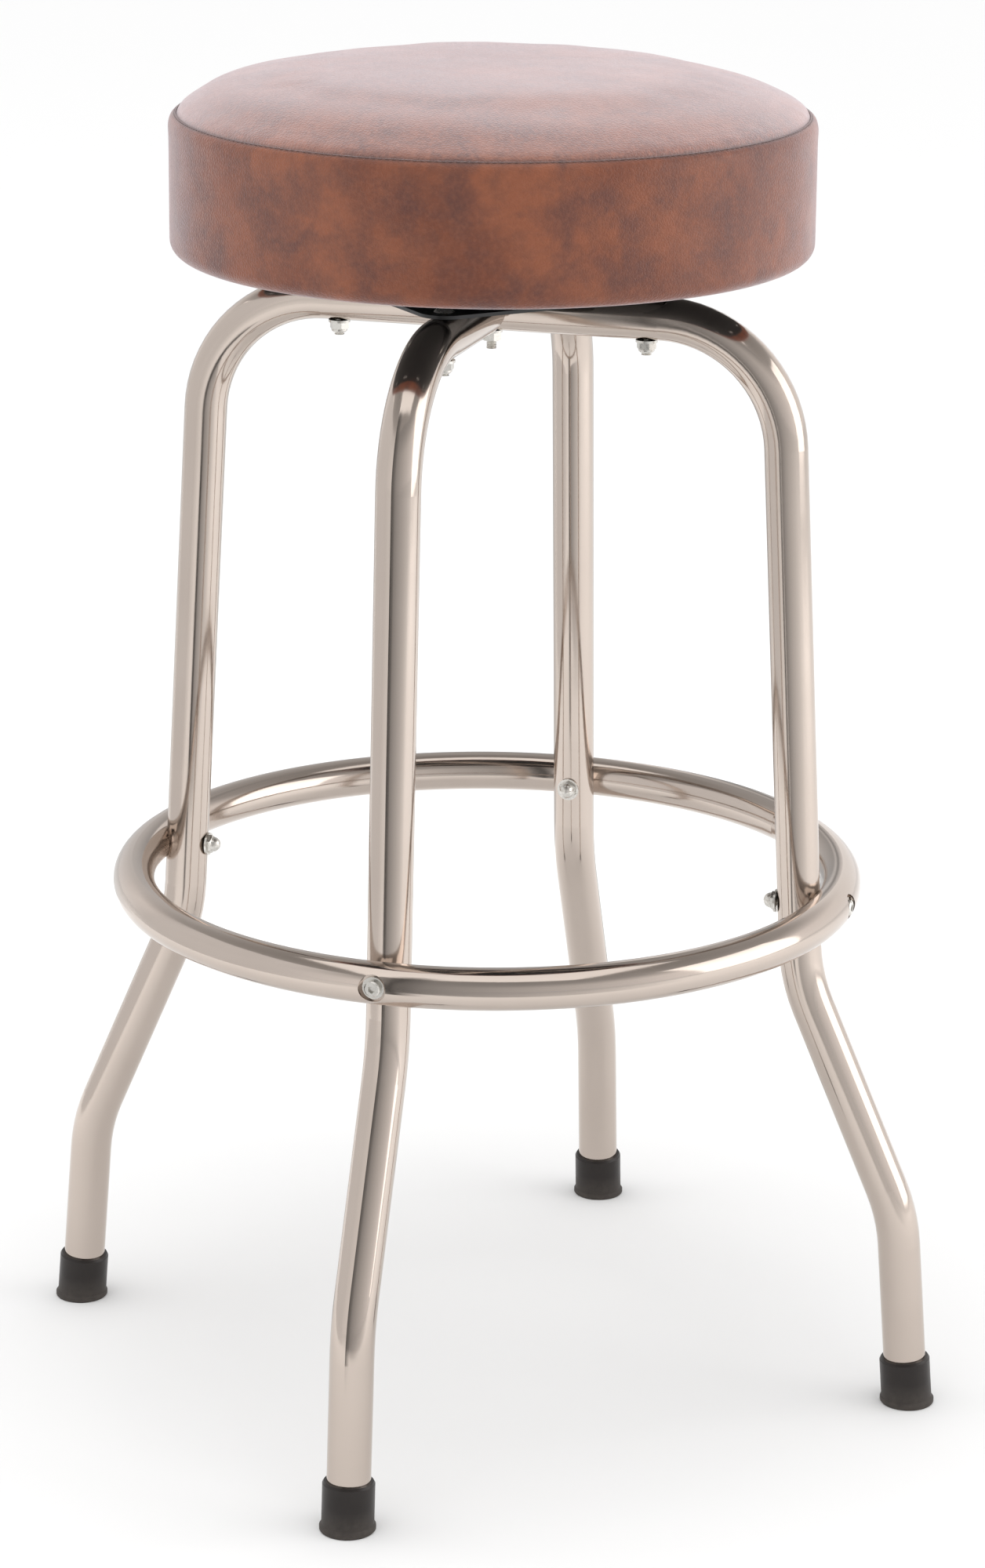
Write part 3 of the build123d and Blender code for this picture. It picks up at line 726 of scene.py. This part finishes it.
def band_shape(at, angle):
    """The side band: rolled in to the seam, down the side, round the bottom edge and under."""
    part, fraction = at
    wall_top = SEAM_Z - SHOULDER
    wall_low = SEAT_BOTTOM + EDGE_R
    roll_in = SEAT_R - SEAM_R
    if part == "roll":
        turn = fraction * math.pi / 2
        radius = SEAM_R + roll_in * math.sin(turn)
        height = wall_top + SHOULDER * math.cos(turn)
    elif part == "wall":
        radius = SEAT_R
        height = wall_top + (wall_low - wall_top) * fraction
    elif part == "edge":
        turn = fraction * math.pi / 2
        radius = SEAT_R - EDGE_R + EDGE_R * math.cos(turn)
        height = wall_low - EDGE_R * math.sin(turn)
    else:
        radius = SEAT_R - EDGE_R + (TURN_IN_R - SEAT_R + EDGE_R) * fraction
        pleat = ease(fraction, 0.0, 0.5) * 0.5 * (1 + wave_noise(angle, 0.0, size=0.009, seed=5.2))
        return radius, SEAT_BOTTOM + BAND_PLEATS * pleat
    down = SEAM_Z - height
    side = ease(down, 0.0, 8 * MM) * ease(height, SEAT_BOTTOM, SEAT_BOTTOM + 12 * MM)
    radius += BAND_SWELLS * side * wave_noise(angle, height, size=0.07, seed=1.4)
    uneven = 0.75 + 0.35 * wave_noise(angle, 0, size=0.05, seed=6.6)
    allowance = bell(down - 6 * MM, width=4.5 * MM) * uneven
    radius += BAND_WELT * allowance
    radius -= BAND_PULL * bell(down, SEAM_WIDTH)
    from_joint = SEAT_R * abs(math.remainder(angle - JOINT_ANGLE, WHOLE_TURN))
    radius -= JOINT_DEPTH * bell(from_joint, JOINT_WIDTH) * side
    radius += JOINT_WELT * bell(from_joint - 4 * MM, width=3 * MM) * side
    return radius, height - BAND_SINK * bell(down, SEAM_WIDTH)


def make_side_band(material):
    """The side band of the cover, closed in a ring by its joint at the back."""
    profile = band_profile()
    points = rings(profile, BAND_COLUMNS, band_shape)
    faces = [tuple(reversed(face)) for face in ring_faces(len(profile), BAND_COLUMNS)]
    band = add_piece("seat_side_band", points, faces, "seat", material)
    thicken(band, SKIN)
    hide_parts("seat_cover_band")


def capsule(start, end, radius, sides=6):
    """A short fat thread from start to end: points and faces."""
    along = (end - start).normalized()
    across = along.orthogonal().normalized()
    third = along.cross(across)
    points = [tuple(start)]
    for share, width in ((0.12, 0.65), (0.5, 1.0), (0.88, 0.65)):
        middle = start.lerp(end, share)
        for side in range(sides):
            turn = WHOLE_TURN * side / sides
            outward = across * math.cos(turn) + third * math.sin(turn)
            points.append(tuple(middle + radius * width * outward))
    points.append(tuple(end))
    faces = [tuple(reversed(face)) for face in cap_faces(0, 1, sides)]
    faces += ring_faces(3, sides, first=1)
    faces += cap_faces(len(points) - 1, 1 + 2 * sides, sides)
    return points, faces


def make_stitches(material):
    """The sewing thread in the round seam and in the band's joint."""
    points, faces = [], []

    def stitch(start, end):
        """Adds one stitch to the thread's mesh."""
        some_points, some_faces = capsule(start, end, THREAD_R)
        base = len(points)
        points.extend(some_points)
        faces.extend(tuple(base + index for index in face) for face in some_faces)

    count = round(WHOLE_TURN * SEAM_R / STITCH_PITCH)
    radius = SEAM_R + STITCH_RAISE
    level = SEAM_Z - STITCH_SINK
    for index in range(count):
        ends = []
        for share in (STITCH_START, STITCH_END):
            angle = WHOLE_TURN * (index + share) / count
            ends.append(Vector((radius * math.cos(angle), radius * math.sin(angle), level)))
        stitch(*ends)
    drop = SEAM_Z - SEAT_BOTTOM - 2 * JOINT_STITCH_TOP
    back = SEAT_R - JOINT_STITCH_SINK
    for index in range(int(drop / STITCH_PITCH)):
        high = SEAM_Z - JOINT_STITCH_TOP - index * STITCH_PITCH
        stitch(Vector((0, back, high)), Vector((0, back, high - JOINT_STITCH)))
    add_piece("seam_thread", points, faces, "seat", material)


def foam_profile(roll_r, roll_top):
    """Outline of the foam as (radius, height): out along its underside, up, over and in."""
    rim = foam_high.x
    side_low, side_top = foam_low.z, SEAM_Z - SHOULDER
    rows = FOAM_ROWS["underside"]
    profile = [(rim * index / rows, side_low) for index in range(1, rows + 1)]
    for share in np.linspace(0.1, 1, FOAM_ROWS["side"]):
        waist = FOAM_WAIST * math.sin(math.pi * share)
        profile.append((rim - waist, side_low + (side_top - side_low) * share))
    for index in range(1, FOAM_ROWS["roll"] + 1):
        turn = math.pi / 2 * index / FOAM_ROWS["roll"]
        radius = roll_r + (rim - roll_r) * math.cos(turn)
        profile.append((radius, side_top + (roll_top - side_top) * math.sin(turn)))
    for index in range(FOAM_ROWS["crown"] - 1, 0, -1):
        fraction = crowded(index / FOAM_ROWS["crown"], power=1.5)
        lift = (foam_high.z - roll_top) * (1 - fraction**CROWN_POWER)
        profile.append((roll_r * fraction, roll_top + lift))
    return profile


def make_foam(material):
    """The foam block under the cover: a closed, crowned form on the board."""
    underside = foam_low.z
    roll_r = SEAM_R - FOAM_GAP
    roll_top = SEAM_Z - FOAM_DROP
    profile = foam_profile(roll_r, roll_top)

    def shape(at, angle):
        radius, height = at
        if height > roll_top:
            height += fullness(radius / roll_r, angle)
        dent = FOAM_DENTS * abs(wave_noise(angle, height, size=0.03, seed=2.0))
        return radius, height - dent * (height > underside)

    points = rings(profile, FOAM_COLUMNS, shape)
    low, high = len(points), len(points) + 1
    points += [(0, 0, underside), (0, 0, foam_high.z)]
    faces = ring_faces(len(profile), FOAM_COLUMNS)
    faces += [tuple(reversed(face)) for face in cap_faces(low, 0, FOAM_COLUMNS)]
    faces += cap_faces(high, (len(profile) - 1) * FOAM_COLUMNS, FOAM_COLUMNS)
    foam = add_piece("seat_foam_block", points, faces, "seat", material)
    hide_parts("foam_pad")


def make_dust_cloth(material):
    """The black cloth under the seat, stretched and stapled, with small folds between the staples."""
    rim = cloth_high.x
    inner = cloth_high.z - CLOTH_THICK
    outer = SEAT_BOTTOM - CLOTH_CLEAR

    def shape(fraction, angle):
        radius = rim * fraction
        level = inner + (outer - inner) * ease(radius, TURN_IN_R - 12 * MM, TURN_IN_R - 1 * MM)
        fold = 0.5 * (1 + wave_noise(angle, 0, size=0.016, seed=4.4))
        tight = bell(radius - STAPLE_R, width=3 * MM)
        level -= CLOTH_FOLDS * fold * ease(radius, 118 * MM, 140 * MM) * (1 - 0.8 * tight)
        frayed = CLOTH_FRAY * wave_noise(angle, 0.3, size=0.02, seed=9.7) * ease(fraction, 0.95, 1.0)
        return radius + min(frayed, 0.0), level

    points, faces = disc_grid(CLOTH_CELLS, shape, power=1.2)
    faces = [tuple(reversed(face)) for face in faces]
    cloth = add_piece("dust_cover_cloth", points, faces, "seat", material)
    thicken(cloth, CLOTH_THICK, offset=0.0)
    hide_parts("dust_cover")


# ---------------------------------------------------------------- CAD nodes that stay


def finish_nodes(material, names):
    """Gives CAD nodes their finish."""
    for name in names:
        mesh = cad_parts[name].data
        mesh.materials.clear()
        mesh.materials.append(material)


def finish_frame():
    """Finishes of all CAD nodes that stay visible."""
    sides = ("right", "back", "left", "front")
    finish_nodes(nickel_plate(), ["side_leg_frame", "front_back_leg_frame", "foot_ring"])
    finish_nodes(foot_rubber(), [f"{side}_foot_tip" for side in sides])
    finish_nodes(black_paint(), ["swivel_base_plate", "swivel_top_plate"])
    fasteners = ["ring_bolts", "ring_washers", "ring_cap_nuts"]
    fasteners += ["plate_bolts", "plate_washers", "plate_lock_nuts"]
    fasteners += ["cross_bolt", "cross_washer", "cross_nut", "seat_screws", "tee_nuts"]
    finish_nodes(zinc_plate(), fasteners)
    finish_nodes(cage_steel(), ["ball_cage"])
    finish_nodes(ball_steel(), ["bearing_balls"])
    finish_nodes(staple_wire(), ["staples"])
    finish_nodes(plywood(), ["seat_board"])


# ---------------------------------------------------------------- build

make_studio()
finish_frame()
# The top copy's specks lighten it more than the band's: partly wear, partly a painted sheen that makes
# the top paler.
top_leather = leatherette(
    "leatherette_top", gloss=0.6, haze=(0.32, 0.44), wear_and_painted_sheen=0.65, veil=0.8, veil_spread=0.6
)
side_leather = leatherette(
    "leatherette_side", gloss=0.45, haze=(0.38, 0.5), wear_and_painted_sheen=0.22, veil=0.7, veil_spread=0.36
)
make_top_panel(top_leather)
make_side_band(side_leather)
make_stitches(sewing_thread())
make_foam(seat_foam())
make_dust_cloth(dust_cloth())
